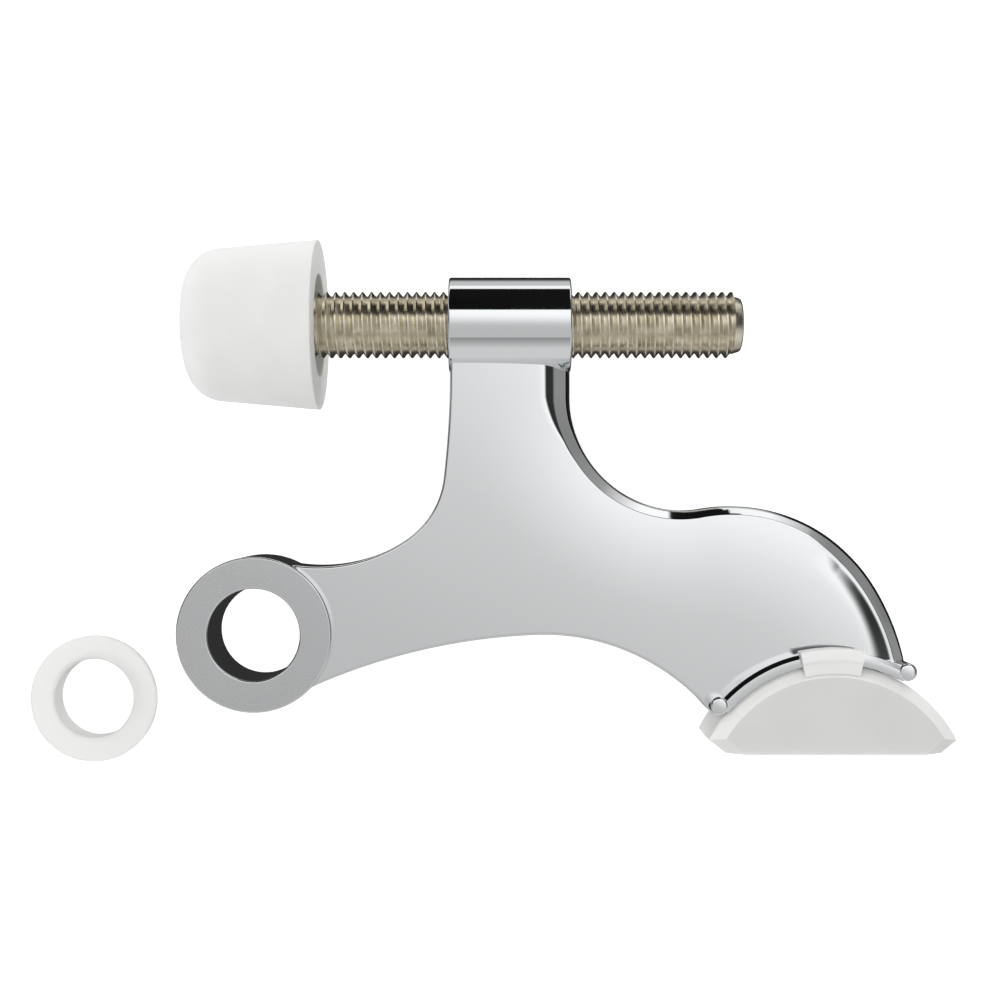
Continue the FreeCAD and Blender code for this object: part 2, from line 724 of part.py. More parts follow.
os.makedirs("parts", exist_ok=True)
for node in nodes:
    node.Shape.exportStep(f"parts/{node.Label}.step")
    box = node.Shape.BoundBox
    print(node.Label, "solids", len(node.Shape.Solids), "volume", round(node.Shape.Volume, 1))
    print("  from", [round(v, 2) for v in (box.XMin, box.YMin, box.ZMin)])
    print("  to  ", [round(v, 2) for v in (box.XMax, box.YMax, box.ZMax)])
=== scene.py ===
import math

import bmesh
import bpy
from mathutils import Matrix, Vector


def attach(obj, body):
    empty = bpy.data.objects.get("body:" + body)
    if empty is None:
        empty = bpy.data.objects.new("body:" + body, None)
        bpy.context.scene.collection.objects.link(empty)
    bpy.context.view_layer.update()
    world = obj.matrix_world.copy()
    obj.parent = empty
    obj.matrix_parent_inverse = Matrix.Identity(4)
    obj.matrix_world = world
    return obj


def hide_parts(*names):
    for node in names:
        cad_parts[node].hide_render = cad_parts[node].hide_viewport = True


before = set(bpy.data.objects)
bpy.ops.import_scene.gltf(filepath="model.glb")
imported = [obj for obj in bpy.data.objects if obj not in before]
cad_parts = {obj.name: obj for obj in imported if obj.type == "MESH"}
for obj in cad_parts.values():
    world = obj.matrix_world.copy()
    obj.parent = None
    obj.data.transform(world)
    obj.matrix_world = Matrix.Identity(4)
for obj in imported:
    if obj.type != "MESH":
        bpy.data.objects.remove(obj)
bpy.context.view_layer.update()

# ---------------------------------------------------------------- the studio
# The door stop lies flat on a pale table under one big overhead softbox.
# Dark flags stand behind it and to its right, so the polished metal has black edges to show.


def colour(code):
    """An sRGB hex code as linear red, green, blue and alpha."""
    channels = [int(code[i : i + 2], 16) / 255 for i in (1, 3, 5)]
    linear = [c / 12.92 if c <= 0.04045 else ((c + 0.055) / 1.055) ** 2.4 for c in channels]
    return (*linear, 1)


def add_node(tree, kind, settings=None, **inputs):
    """Adds a node; each input is a value or the output socket that feeds it."""
    node = tree.nodes.new("ShaderNode" + kind)
    for name, value in (settings or {}).items():
        setattr(node, name, value)
    for name, value in inputs.items():
        key = int(name[1:]) if name[0] == "i" and name[1:].isdigit() else name.replace("_", " ")
        if isinstance(value, bpy.types.NodeSocket):
            tree.links.new(value, node.inputs[key])
        else:
            node.inputs[key].default_value = value
    return node


def blank_material(name):
    """A material with no nodes yet, and its node tree."""
    material = bpy.data.materials.new(name)
    material.use_nodes = True
    material.node_tree.nodes.clear()
    return material, material.node_tree


MM = 0.001
LENS_HEIGHT = 180 * MM
VIEW_WIDTH = 118.2 * MM
VIEW_CENTRE = (28.39 * MM, 15.54 * MM)
SENSOR = 36
NEAREST_SEEN = 0.01
TABLE_CENTRE = (0.03, 0.015)
TABLE_HALF = 1.5
TABLE_LEVEL = -10.05 * MM
PAPER_GLOW = 0.62

camera_data = bpy.data.cameras.new("lens")
camera_data.sensor_width = SENSOR
camera_data.lens = SENSOR * LENS_HEIGHT / VIEW_WIDTH
camera_data.clip_start = NEAREST_SEEN
camera = bpy.data.objects.new("camera", camera_data)
camera.location = (*VIEW_CENTRE, LENS_HEIGHT)
bpy.context.scene.collection.objects.link(camera)
bpy.context.scene.camera = camera
bpy.context.scene.view_settings.view_transform = "Standard"

table_mesh = bpy.data.meshes.new("table")
table_shape = bmesh.new()
bmesh.ops.create_grid(table_shape, x_segments=1, y_segments=1, size=TABLE_HALF)
bmesh.ops.translate(table_shape, verts=table_shape.verts, vec=(*TABLE_CENTRE, TABLE_LEVEL))
table_shape.to_mesh(table_mesh)
table_shape.free()
table = bpy.data.objects.new("table", table_mesh)
bpy.context.scene.collection.objects.link(table)
table.visible_glossy = False

paper, tree = blank_material("white_backdrop_paper")
sheet_bsdf = add_node(tree, "BsdfDiffuse", Color=colour("#FFFFFF"))
sheet_glow = add_node(tree, "Emission", Color=colour("#FFFFFF"), Strength=PAPER_GLOW)
sheet_sum = add_node(tree, "AddShader", i0=sheet_bsdf.outputs[0], i1=sheet_glow.outputs[0])
add_node(tree, "OutputMaterial", Surface=sheet_sum.outputs[0])
table_mesh.materials.append(paper)

# The surroundings that the polished metal mirrors, by direction.
# East, north and up are the sines of the angles from the three axes, and are the limits of the softbox too.
SOFTBOX_EAST = math.sin(math.radians(30))
SOFTBOX_WEST = -math.sin(math.radians(37))
SOFTBOX_NORTH = math.sin(math.radians(31))
SOFTBOX_SOUTH = -math.sin(math.radians(36))
CHROME_SHARE = 0.8
BRIGHTER_TOWARDS = (0.42, 0.95, 0.0)

world = bpy.data.worlds.new("studio")
bpy.context.scene.world = world
world.use_nodes = True
sky = world.node_tree
sky.nodes.clear()
place = add_node(sky, "TexCoord")
axes = add_node(sky, "SeparateXYZ", Vector=place.outputs["Generated"])
east, north, up = axes.outputs[0], axes.outputs[1], axes.outputs[2]
lean = add_node(
    sky, "VectorMath", {"operation": "DOT_PRODUCT"}, i0=place.outputs["Generated"], i1=BRIGHTER_TOWARDS
)
sweep = add_node(sky, "Math", {"operation": "ADD"}, i0=lean.outputs["Value"], i1=0.5)
turn = add_node(sky, "Math", {"operation": "ARCTAN2"}, i0=north, i1=east)
bearing = add_node(sky, "Math", {"operation": "MULTIPLY_ADD"}, i0=turn.outputs[0], i1=1 / math.tau, i2=0.5)

# Each band of greys follows a value from 0 to 1, as (value, sRGB grey) stops.
# The bearing goes from 0 to 1 as it turns from -180 to 180 degrees from +X.
greys = {}
for band, value, stops in (
    (
        "softbox",
        sweep.outputs[0],
        ((0.20, 182), (0.38, 187), (0.50, 203), (0.60, 222), (0.72, 240), (0.86, 250)),
    ),
    (
        "eye level",
        bearing.outputs[0],
        (
            (0.000, 150), (0.12, 188), (0.25, 200), (0.44, 190), (0.49, 140), (0.58, 128), (0.628, 150),
            (0.66, 215), (0.682, 250), (0.7155, 252), (0.718, 20), (0.90, 14), (0.96, 60),
        ),
    ),
    (
        "high flags",
        bearing.outputs[0],
        (
            (0.0, 150), (0.10, 186), (0.40, 192), (0.47, 75), (0.52, 45), (0.64, 50), (0.70, 30),
            (0.76, 14), (0.90, 14), (0.97, 90),
        ),
    ),
    (
        "horizon",
        bearing.outputs[0],
        (
            (0.0, 150), (0.25, 200), (0.44, 190), (0.49, 140), (0.60, 130), (0.628, 150), (0.66, 215),
            (0.682, 248), (0.80, 240), (0.9, 150),
        ),
    ),
    (
        "table edge",
        bearing.outputs[0],
        ((0.0, 120), (0.25, 190), (0.42, 120), (0.47, 18), (0.66, 14), (0.69, 195), (0.90, 175)),
    ),
    ("near wall", up, ((0.40, 204), (0.70, 160), (0.77, 143))),
):
    ramp = add_node(sky, "ValToRGB", Fac=value)
    elements = ramp.color_ramp.elements
    while len(elements) < len(stops):
        elements.new(1.0)
    for element, (where, grey) in zip(elements, stops):
        element.position = where
        element.color = colour("#" + 3 * f"{grey:02X}")
    greys[band] = ramp.outputs["Color"]

# Each band lies over those before it, within its limits.
# A limit is (value, edge, softness, 1 to lie above the edge or 0 to lie below it).
seen = greys["high flags"]
for layer, limits in (
    (greys["eye level"], ((up, 0.42, 0.06, 0),)),
    (greys["horizon"], ((up, -0.03, 0.012, 0),)),
    (greys["table edge"], ((up, -0.24, 0.03, 0),)),
    (colour("#2C2C2C"), ((up, -0.62, 0.15, 0),)),
    (greys["near wall"], ((north, -0.45, 0.1, 0), (up, 0.42, 0.06, 1))),
    (
        greys["softbox"],
        (
            (east, SOFTBOX_EAST, 0.08, 0), (east, SOFTBOX_WEST, 0.01, 1), (north, SOFTBOX_NORTH, 0.008, 0),
            (north, SOFTBOX_SOUTH, 0.01, 1), (up, 0.2, 0.1, 1),
        ),
    ),
):
    share = 1.0
    for value, edge, soft, above in limits:
        within = add_node(
            sky, "MapRange", {"interpolation_type": "SMOOTHSTEP"}, Value=value,
            From_Min=edge - soft, From_Max=edge + soft, To_Min=1 - above, To_Max=above,
        )
        share = add_node(sky, "Math", {"operation": "MULTIPLY"}, i0=share, i1=within.outputs[0]).outputs[0]
    seen = add_node(sky, "Mix", {"data_type": "RGBA"}, i0=share, i6=seen, i7=layer).outputs[2]
studio = add_node(sky, "Background", Color=seen, Strength=1 / CHROME_SHARE)
backdrop = add_node(sky, "Background", Color=colour("#FFFFFF"), Strength=1.0)
rays = add_node(sky, "LightPath")
shown = add_node(
    sky, "MixShader", i0=rays.outputs["Is Camera Ray"], i1=studio.outputs[0], i2=backdrop.outputs[0]
)
add_node(sky, "OutputWorld", Surface=shown.outputs[0])

for name, spot, size, power in (
    ("softbox_left", (-0.42, 0.30, 0.38), 0.5, 1.4),
    ("softbox_back", (0.12, 0.62, 0.36), 0.5, 1.2),
    ("softbox_front", (0.05, -0.55, 0.45), 0.6, 0.7),
    ("softbox_top", (0.03, 0.02, 0.80), 0.7, 0.9),
):
    lamp_data = bpy.data.lights.new(name, "AREA")
    lamp_data.size = size
    lamp_data.energy = power
    lamp = bpy.data.objects.new(name, lamp_data)
    lamp.location = spot
    lamp.rotation_euler = (Vector((*TABLE_CENTRE, 0)) - lamp.location).to_track_quat("-Z", "Y").to_euler()
    lamp.visible_glossy = False
    lamp.visible_camera = False
    bpy.context.scene.collection.objects.link(lamp)

# ---------------------------------------------------------------- the casting
# One zinc die casting: the hinge pin's eye, the curved arm, the screw's boss, and the shoe's rail with its pins.
# It is polished and bright chrome plated.
# The eye's two faces are turned flat after plating, which leaves them satin.

ARM_HALF = 3.0
NECK_TOP = (36.6, 34.2)
NECK_LEFT = (22.553, 34.2)
BOW_CENTRE = (-87.4, 31.0)
CROOK_CENTRE = (11.903, 19.217)
EYE_BLEND_CENTRE = (7.2, 26.297)
EYE_CENTRE = (0, 0)
EYE_INSIDE_TOP = (2.55, 7.05)
HEEL = (6.0, -6.436)
UNDERSIDE_CENTRE = (35.31, -71.104)
ARCH_CENTRE = (33.5, -25.44)
CRADLE_LEFT = (57.0, -9.2)
CRADLE_CUT = 16.6
ROCK_AXIS = (66.7, -19.3)
SHOULDER_CENTRE = (55.531, -5.1)
SHOULDER_RADIUS = 19.9
THROAT_CENTRE = (49.8, 27.5)
THROAT_RADIUS = 13.2
THROAT_TURN = 99.97
SHOULDER_TURN = 94.78
TOE_OVERRUN = 13.2
CROWN_REACH = 16.0
CROWN_SLOPE = math.tan(math.radians(6.8))
THROAT_FACET_SLOPE = math.tan(math.radians(40))
SHOULDER_FACET_SLOPE = math.tan(math.radians(46.5))
RIM_SLOPE = math.tan(math.radians(68))
RIM_REACH = 0.6
BAND = 5.0
TOE_FLARE = 0.55
TOE_FLARE_START = 2.72
TOE_FLARE_END = 0.05
SCOOP_START = 4.5
SCOOP_LENGTH = 2.1
RIDGE_START = 0.55
RIDGE_LENGTH = 0.35
RIDGE_SLOPE = math.tan(math.radians(4))
RIM_ROUNDING = 0.7
STEEPER_FROM = 2.05
STEEPER_LENGTH = 0.05
SLOPE_PARTS = 6
FINE_EDGE = 0.25
ARC_STEP = 0.55
ANGLE_SLACK = 0.005
ON_LINE = 1e-3
CLOSE = 1e-4
MERGE = 1e-5

# The rings of the band that follows the soft contour.
# Those up to 1 share the facet's width, and the rest reach from there to the plate.
RINGS = (
    0, 0.05, 0.11, 0.18, 0.26, 0.36, 0.5, 0.7, 0.85, 0.95, 1.0, 1.05, 1.12, 1.22, 1.35, 1.5, 1.7, 1.9,
    2.15, 2.4, 2.7, 3.0, 3.3, 3.65, 4.0, 4.5, 5.0,
)

# Along the soft contour: place, facet width, crease softness, tilt of the scoop and rounding of the rim.
# Places run 0 to 1 down the neck, 1 to 2 round the throat and 2 to 3 over the shoulder.
FACET = (
    (0.00, 2.40, 3.20, 0, 1.0),
    (1.00, 2.35, 3.10, 0, 1.0),
    (1.10, 2.00, 1.90, 0, 0.9),
    (1.20, 1.60, 0.60, 0, 0.6),
    (1.32, 1.40, 0.20, 0, 0.4),
    (1.50, 1.30, 0.15, 0, 0.3),
    (1.75, 1.10, 0.15, 0, 0.25),
    (2.00, 0.95, 0.12, 0, 0.3),
    (2.25, 0.95, 0.12, 0, 0.5),
    (2.40, 1.10, 0.15, 0, 0.5),
    (2.46, 1.30, 0.20, 5, 0.5),
    (2.57, 1.50, 0.20, 12, 0.5),
    (2.68, 1.55, 0.20, 13, 0.4),
    (2.80, 1.50, 0.18, 12.5, 0.4),
    (3.00, 1.30, 0.18, 12, 0.3),
)


def trace(shape, tip, path):
    """Draws a chain of edges on from a point: straight runs to a point, or arcs (centre, degrees)."""
    drawn = []
    for step_taken in path:
        if len(step_taken) == 1:
            goal = step_taken[0]
            if not isinstance(goal, bmesh.types.BMVert):
                goal = shape.verts.new((*goal, tip.co.z))
            drawn.append(shape.edges.new((tip, goal)))
            tip = goal
        else:
            centre, degrees = step_taken
            reach = (tip.co.xy - Vector(centre)).length
            angle = math.radians(degrees)
            steps = max(4, round(abs(angle) * reach / ARC_STEP))
            known = set(shape.edges)
            turn = bmesh.ops.spin(
                shape, geom=[tip], cent=(*centre, tip.co.z), axis=(0, 0, 1), angle=angle, steps=steps
            )
            drawn += [edge for edge in shape.edges if edge not in known]
            tip = next(item for item in turn["geom_last"] if isinstance(item, bmesh.types.BMVert))
    return tip, drawn


def station(point):
    """Where a point is along the soft contour, and how far inside it."""
    if point.y >= THROAT_CENTRE[1]:
        down = (NECK_TOP[1] - point.y) / (NECK_TOP[1] - THROAT_CENTRE[1])
        return max(0.0, down), NECK_TOP[0] - point.x
    out = point - Vector(THROAT_CENTRE)
    bearing_out = math.degrees(math.atan2(out.y, out.x)) % 360
    if bearing_out <= THROAT_TURN + 180 + ANGLE_SLACK:
        return 1 + (bearing_out - 180) / THROAT_TURN, out.length - THROAT_RADIUS
    out = point - Vector(SHOULDER_CENTRE)
    bearing_out = math.degrees(math.atan2(out.y, out.x))
    if bearing_out < THROAT_TURN - SHOULDER_TURN - TOE_OVERRUN - ANGLE_SLACK:
        return 3, BAND + 1
    return 2 + (THROAT_TURN - bearing_out) / SHOULDER_TURN, SHOULDER_RADIUS - out.length


def facet_at(place):
    """Facet width, crease softness, scoop tilt and rim rounding at a place along the contour."""
    for before, after in zip(FACET, FACET[1:]):
        if place <= after[0]:
            share = (place - before[0]) / (after[0] - before[0])
            return [a + (b - a) * share for a, b in zip(before[1:], after[1:])]
    return FACET[-1][1:]


def smooth_step(value):
    """Eases from 0 to 1 as the value goes from 0 to 1."""
    value = min(1.0, max(0.0, value))
    return value * value * (3 - 2 * value)


def slope(depth, steep, width, soft, scoop, rim_width):
    """The surface's slope at a depth inside the contour."""
    crown = CROWN_SLOPE * ((CROWN_REACH - depth) / CROWN_REACH) ** 2 if depth < CROWN_REACH else 0
    if scoop:
        dip = max(0.0, math.tan(math.radians(scoop)) - crown)
        dip *= smooth_step((SCOOP_START - depth) / SCOOP_LENGTH)
        ridge = smooth_step((width + RIDGE_START - depth) / RIDGE_LENGTH)
        crown = (crown + dip) * (1 - ridge) + RIDGE_SLOPE * ridge
    lean = crown + (steep - crown) * (1 - smooth_step((depth - width + soft / 2) / soft))
    return lean + (RIM_SLOPE - steep) * max(0.0, 1 - depth / (RIM_REACH * rim_width)) ** RIM_ROUNDING


def crown_drop(depth):
    """How far the crowned plate has fallen at a depth inside the contour."""
    left = max(0.0, CROWN_REACH - depth)
    return CROWN_SLOPE * left**3 / (3 * CROWN_REACH**2)


def section(place):
    """(depth, height) of each ring of the band at a place along the contour."""
    width, soft, scoop, rim_width = facet_at(place)
    turn_over = smooth_step((place - STEEPER_FROM) / STEEPER_LENGTH)
    steep = THROAT_FACET_SLOPE + (SHOULDER_FACET_SLOPE - THROAT_FACET_SLOPE) * turn_over
    beyond = (BAND - width) / (BAND - 1)
    depths = [ring * width if ring <= 1 else width + (ring - 1) * beyond for ring in RINGS]
    height = ARM_HALF - crown_drop(BAND)
    rows = [(BAND, height)]
    for near, far in zip(reversed(depths[:-1]), reversed(depths[1:])):
        part = (far - near) / SLOPE_PARTS
        for number in range(SLOPE_PARTS):
            height -= slope(far - part * (number + 0.5), steep, width, soft, scoop, rim_width) * part
        rows.append((near, height))
    return rows[::-1]


arm = bmesh.new()
order = arm.verts.layers.int.new("ring")
rim = [arm.verts.new((NECK_TOP[0] - ring, NECK_TOP[1], 0)) for ring in RINGS]
row = [arm.edges.new(pair) for pair in zip(rim, rim[1:])]
for number, vert in enumerate(rim):
    vert[order] = number

# The row of rings is swept down the neck, round the throat and over the shoulder.
NECK_STEPS = 14
THROAT_STEPS = 60
SHOULDER_STEPS = 110
neck_step = (0, (THROAT_CENTRE[1] - NECK_TOP[1]) / NECK_STEPS, 0)
last = rim + row
for centre, degrees, steps, step_on in (
    ((0, 0), 0, NECK_STEPS, neck_step),
    (THROAT_CENTRE, THROAT_TURN, THROAT_STEPS, (0, 0, 0)),
    (SHOULDER_CENTRE, -SHOULDER_TURN - TOE_OVERRUN, SHOULDER_STEPS, (0, 0, 0)),
):
    last = bmesh.ops.spin(
        arm, geom=last, cent=(*centre, 0), axis=(0, 0, 1), angle=math.radians(degrees), steps=steps,
        dvec=step_on,
    )["geom_last"]
toe_verts = sorted((v for v in last if isinstance(v, bmesh.types.BMVert)), key=lambda v: -v.co.x)
toe_row = [e for e in last if isinstance(e, bmesh.types.BMEdge)]
inner = [e for e in arm.edges if e.is_boundary and all(v[order] == len(RINGS) - 1 for v in e.verts)]
_, outline = trace(
    arm,
    rim[-1],
    (
        (NECK_LEFT,),
        (BOW_CENTRE, -8.44),
        (CROOK_CENTRE, -49.63),
        (EYE_BLEND_CENTRE, -46.72),
        (EYE_INSIDE_TOP,),
        (EYE_CENTRE, -117.14),
        (HEEL,),
        (UNDERSIDE_CENTRE, -22.11),
        (ARCH_CENTRE, -51.64),
        (CRADLE_LEFT,),
        (toe_verts[0],),
    ),
)
bmesh.ops.remove_doubles(arm, verts=arm.verts, dist=CLOSE)
plate = bmesh.ops.edgeloop_fill(arm, edges=[e for e in outline + inner + toe_row if e.is_valid])["faces"]

# The plate's other edges are rounded by insets of (width, drop left), in shares of the fine edge's radius.
RIM_STEPS = ((0.2, 0.55), (0.35, 0.15), (0.45, 0.0), (0.35, 0.0))
ON_RIM = 1e-6
lowered = arm.verts.layers.float.new("lowered")
for vert in plate[0].verts:
    if any(e.is_boundary for e in vert.link_edges):
        vert[lowered] = FINE_EDGE
for inset, drop in RIM_STEPS:
    rim_before = {v for v in plate[0].verts if v[lowered] > 0}
    bmesh.ops.inset_region(
        arm, faces=plate, thickness=inset * FINE_EDGE, use_even_offset=False, use_boundary=True
    )
    for vert in plate[0].verts:
        beside = any(e.other_vert(vert) in rim_before for e in vert.link_edges)
        vert[lowered] = max(drop * FINE_EDGE, ON_RIM) if beside else 0.0
for face in plate:
    face.material_index = 1

# The plate is cut into a grid, so that it can take the crown's shape.
CELL = 1.1
GRID_START = -9.3
for axis, far in ((0, 76.0), (1, 34.0)):
    line = GRID_START
    while line < far:
        faces = [f for f in arm.faces if f.material_index == 1]
        edges = {e for f in faces for e in f.edges}
        verts = {v for f in faces for v in f.verts}
        where, facing = [0, 0, 0], [0, 0, 0]
        where[axis], facing[axis] = line, 1
        bmesh.ops.bisect_plane(
            arm, geom=[*verts, *edges, *faces], dist=MERGE, plane_co=where, plane_no=facing
        )
        line += CELL
heights = {}
for vert in arm.verts:
    place, depth = station(vert.co.xy)
    if depth < BAND + ON_LINE and any(f.material_index == 0 for f in vert.link_faces):
        nearest = min(range(len(RINGS)), key=lambda k: abs(RINGS[k] - depth))
        key = round(place, 4)
        if key not in heights:
            heights[key] = section(place)
        new_depth, vert.co.z = heights[key][nearest]
        if place <= 1:
            vert.co.x = NECK_TOP[0] - new_depth
        elif place <= 2:
            centre = Vector(THROAT_CENTRE)
            vert.co.xy = centre + (vert.co.xy - centre).normalized() * (THROAT_RADIUS + new_depth)
        else:
            centre = Vector(SHOULDER_CENTRE)
            grown = max(0.0, (place - TOE_FLARE_START) / (3 - TOE_FLARE_START)) ** 2
            flare = TOE_FLARE * grown * max(0.0, 1 - new_depth / BAND)
            flare *= 1 - smooth_step((place - 3) / TOE_FLARE_END)
            out = SHOULDER_RADIUS - new_depth + flare
            vert.co.xy = centre + (vert.co.xy - centre).normalized() * out
    else:
        vert.co.z = ARM_HALF - crown_drop(max(depth, BAND)) - vert[lowered]
for face in arm.faces:
    face.material_index = 0
    if face.normal.z < 0:
        face.normal_flip()
brink = [e for e in arm.edges if e.is_boundary]
wall = bmesh.ops.extrude_edge_only(arm, edges=brink)["geom"]
for item in wall:
    if isinstance(item, bmesh.types.BMVert):
        item.co.z = 0
bmesh.ops.recalc_face_normals(arm, faces=arm.faces)
bmesh.ops.mirror(
    arm, geom=[*arm.verts, *arm.edges, *arm.faces], matrix=Matrix.Identity(4), merge_dist=MERGE, axis="Z"
)
bmesh.ops.remove_doubles(arm, verts=arm.verts, dist=MERGE)
bmesh.ops.recalc_face_normals(arm, faces=arm.faces)


def turned(profile, centre, direction, degrees=360, steps=96, start=0):
    """A closed shell: a profile of (along, out) points spun about an X or Z axis through a centre."""
    shape = bmesh.new()
    if direction == "X":
        corners = [shape.verts.new((along, out, 0)) for along, out in profile]
        axis = (1, 0, 0)
    else:
        corners = [shape.verts.new((out, 0, along)) for along, out in profile]
        axis = (0, 0, 1)
    face = shape.faces.new(corners)
    if degrees == 360:
        shape.faces.remove(face)
    first_turn = Matrix.Rotation(math.radians(start), 3, direction)
    bmesh.ops.rotate(shape, verts=shape.verts, cent=(0, 0, 0), matrix=first_turn)
    bmesh.ops.spin(
        shape, geom=[*shape.verts, *shape.edges, *shape.faces], cent=(0, 0, 0), axis=axis,
        angle=math.radians(degrees), steps=steps, use_merge=degrees == 360,
    )
    bmesh.ops.remove_doubles(shape, verts=shape.verts, dist=MERGE)
    bmesh.ops.delete(shape, geom=[edge for edge in shape.edges if not edge.link_faces], context="EDGES")
    bmesh.ops.recalc_face_normals(shape, faces=shape.faces)
    bmesh.ops.translate(shape, verts=shape.verts, vec=(*centre, 0))
    return shape


def rounded(corners, radius, parts=3):
    """Rounds the corners of a closed profile; radius is one number, or one for each corner."""
    radii = radius if isinstance(radius, (list, tuple)) else [radius] * len(corners)
    points = []
    for k, here in enumerate(corners):
        here = Vector(here)
        before = (Vector(corners[k - 1]) - here).normalized()
        after = (Vector(corners[(k + 1) % len(corners)]) - here).normalized()
        if radii[k] <= 0:
            points.append(here)
            continue
        half = before.angle(after) / 2
        middle = here + (before + after).normalized() * radii[k] / math.sin(half)
        reach = radii[k] / math.tan(half)
        first = here + before * reach - middle
        turn = first.angle_signed(here + after * reach - middle)
        for part in range(parts + 1):
            points.append(middle + Matrix.Rotation(-turn * part / parts, 2) @ first)
    return [tuple(point) for point in points]


def as_object(name, shape):
    """Puts a finished shape in the scene."""
    mesh = bpy.data.meshes.new(name)
    shape.to_mesh(mesh)
    shape.free()
    item = bpy.data.objects.new(name, mesh)
    bpy.context.scene.collection.objects.link(item)
    return item


def evaluated_mesh(item):
    """A copy of an object's mesh with its modifiers applied."""
    return bpy.data.meshes.new_from_object(item.evaluated_get(bpy.context.evaluated_depsgraph_get()))


def united(item, others, cutters=()):
    """Cuts closed shells away from a piece, and joins others to it with nothing left inside."""
    for operation, shell_list in (("DIFFERENCE", cutters), ("UNION", others)):
        for other in shell_list:
            join = item.modifiers.new(operation.lower(), "BOOLEAN")
            join.operation = operation
            join.solver = "EXACT"
            join.object = other
    whole = evaluated_mesh(item)
    item.modifiers.clear()
    item.data = whole
    for other in (*others, *cutters):
        bpy.data.objects.remove(other)


FLAT_FACE_CORNERS = 30


def shade(item, angle=32):
    """Brings a piece from millimetres to metres and smooths all but the edges sharper than the angle."""
    shape = bmesh.new()
    shape.from_mesh(item.data)
    bmesh.ops.scale(shape, verts=shape.verts, vec=(MM, MM, MM))
    for face in shape.faces:
        face.smooth = len(face.verts) < FLAT_FACE_CORNERS
    for edge in shape.edges:
        edge.smooth = edge.calc_face_angle(0) < math.radians(angle)
    shape.to_mesh(item.data)
    shape.free()
    weigh = item.modifiers.new("weigh", "WEIGHTED_NORMAL")
    weigh.keep_sharp = True
    weighed = evaluated_mesh(item)
    item.modifiers.clear()
    item.data = weighed


def finish_piece(item, body, slot, node, *materials):
    """Gives a piece its materials and the body it rides on, and hides the CAD node it stands for. The slot is
    not used.
    """
    item.data.materials.clear()
    for material in materials:
        item.data.materials.append(material)
    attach(item, body)
    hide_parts(node)


EYE_RADIUS = 9.0
EYE_BORE = 5.32
EYE_HALF = 4.75
BOSS_AXIS = 36.2
BOSS_LEFT = 22.4
BOSS_RIGHT = 36.7
BOSS_RADIUS = 5.58
BOSS_BORE = 4.02
RAIL_INNER = 16.1
RAIL_OUTER = 17.5
RAIL_SLOPE = 0.45
RAIL_HALF = 5.62
PIN_HALF = 5.7
PIN_RING = 17.3
PIN_RADIUS = 1.05
PIN_BEARINGS = (139.5, 60.7)
RAIL_SINK = 0.02
CUT_HALF = 8
SATIN_REACH = EYE_RADIUS + 0.1
SATIN_LEVEL = EYE_HALF - 0.02
FLAT = 0.99

eye = turned(
    rounded(
        ((-EYE_HALF, EYE_BORE), (EYE_HALF, EYE_BORE), (EYE_HALF, EYE_RADIUS), (-EYE_HALF, EYE_RADIUS)), 0.22
    ),
    EYE_CENTRE, "Z", steps=128,
)
boss = turned(
    rounded(
        (
            (BOSS_LEFT, BOSS_BORE),
            (BOSS_RIGHT, BOSS_BORE),
            (BOSS_RIGHT, BOSS_RADIUS),
            (BOSS_LEFT, BOSS_RADIUS),
        ),
        (0.35, 0.35, 0.25, 0.25),
    ),
    (0, BOSS_AXIS), "X", steps=128,
)
rail = turned(
    rounded(
        (
            (-RAIL_HALF, RAIL_INNER - RAIL_SINK),
            (RAIL_HALF, RAIL_INNER - RAIL_SINK),
            (RAIL_HALF, RAIL_OUTER - RAIL_SLOPE),
            (RAIL_HALF - RAIL_SLOPE, RAIL_OUTER),
            (RAIL_SLOPE - RAIL_HALF, RAIL_OUTER),
            (-RAIL_HALF, RAIL_OUTER - RAIL_SLOPE),
        ),
        0.07,
    ),
    ROCK_AXIS, "Z", degrees=PIN_BEARINGS[0] - PIN_BEARINGS[1], steps=44, start=PIN_BEARINGS[1],
)
shells = [as_object("eye", eye), as_object("boss", boss), as_object("rail", rail)]
for bearing_out in PIN_BEARINGS:
    turn = math.radians(bearing_out)
    middle = (ROCK_AXIS[0] + PIN_RING * math.cos(turn), ROCK_AXIS[1] + PIN_RING * math.sin(turn))
    half_pin = rounded(
        ((-PIN_HALF, 0), (PIN_HALF, 0), (PIN_HALF, PIN_RADIUS), (-PIN_HALF, PIN_RADIUS)), (0, 0, 0.3, 0.3)
    )
    shells.append(as_object("pin", turned(half_pin, middle, "Z", steps=40)))
casting = as_object("chromed_casting", arm)
cut_profile = ((-CUT_HALF, 0), (CUT_HALF, 0), (CUT_HALF, CRADLE_CUT), (-CUT_HALF, CRADLE_CUT))
cradle_cut = turned(cut_profile, ROCK_AXIS, "Z", steps=180)
united(casting, shells, [as_object("cradle_cut", cradle_cut)])
shade(casting)

chrome, tree = blank_material("bright_chrome_plate_on_polished_zinc")
where = add_node(tree, "TexCoord")
haze = add_node(tree, "TexNoise", Vector=where.outputs["Object"], Scale=1 / (6 * MM), Detail=3.0)
gloss = add_node(tree, "MapRange", Value=haze.outputs["Fac"], To_Min=0.035, To_Max=0.075)
ripple = add_node(tree, "TexNoise", Vector=where.outputs["Object"], Scale=1 / (2.2 * MM), Detail=1.0)
wavy = add_node(tree, "Bump", Strength=0.05, Distance=0.02 * MM, Height=ripple.outputs["Fac"])
metal = add_node(
    tree, "BsdfPrincipled", Base_Color=colour("#E6E8E9"), Metallic=1.0, Roughness=gloss.outputs["Result"],
    Normal=wavy.outputs["Normal"],
)
add_node(tree, "OutputMaterial", Surface=metal.outputs[0])

